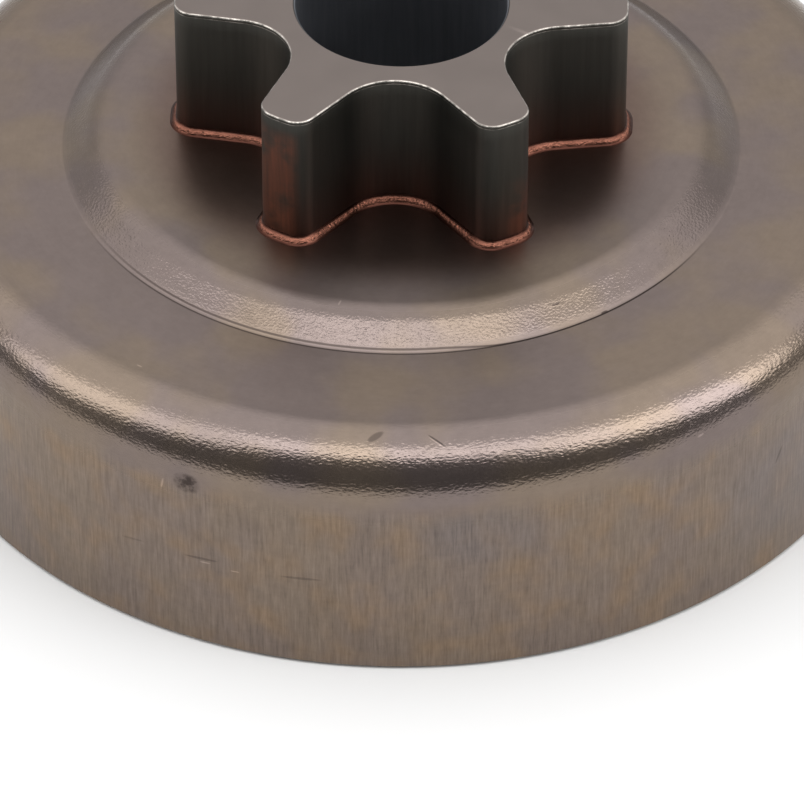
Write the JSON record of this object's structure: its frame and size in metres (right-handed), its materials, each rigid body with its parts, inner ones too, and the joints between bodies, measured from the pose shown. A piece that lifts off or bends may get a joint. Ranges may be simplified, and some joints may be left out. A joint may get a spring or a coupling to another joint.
{
  "type": "chainsaw clutch drum",
  "caption": "Pressed steel clutch drum, open on one side, with a spur chain sprocket brazed to its raised centre and a bearing bore through it.",
  "frame": {"origin": "on the drum's axis, in the plane of the open rim", "axes": "+Z along the axis, from the open rim towards the sprocket; one tooth gap is centred on -Y"},
  "size_m": [0.0672, 0.0672, 0.0288],
  "materials": {
    "cup_steel": "bare pressed steel, warm grey with heat tint, fine turning marks on the wall and a crinkled sheen on the bends",
    "sprocket_steel": "ground end face, darker broached flanks with a copper wash near the foot",
    "braze": "furnace copper braze, smooth and beaded"
  },
  "bodies": {
    "root": {"drum_cup": "cup_steel", "spur_sprocket": "sprocket_steel", "outer_braze_fillet": "braze", "inner_braze_fillet": "braze"}
  },
  "joints": []
}
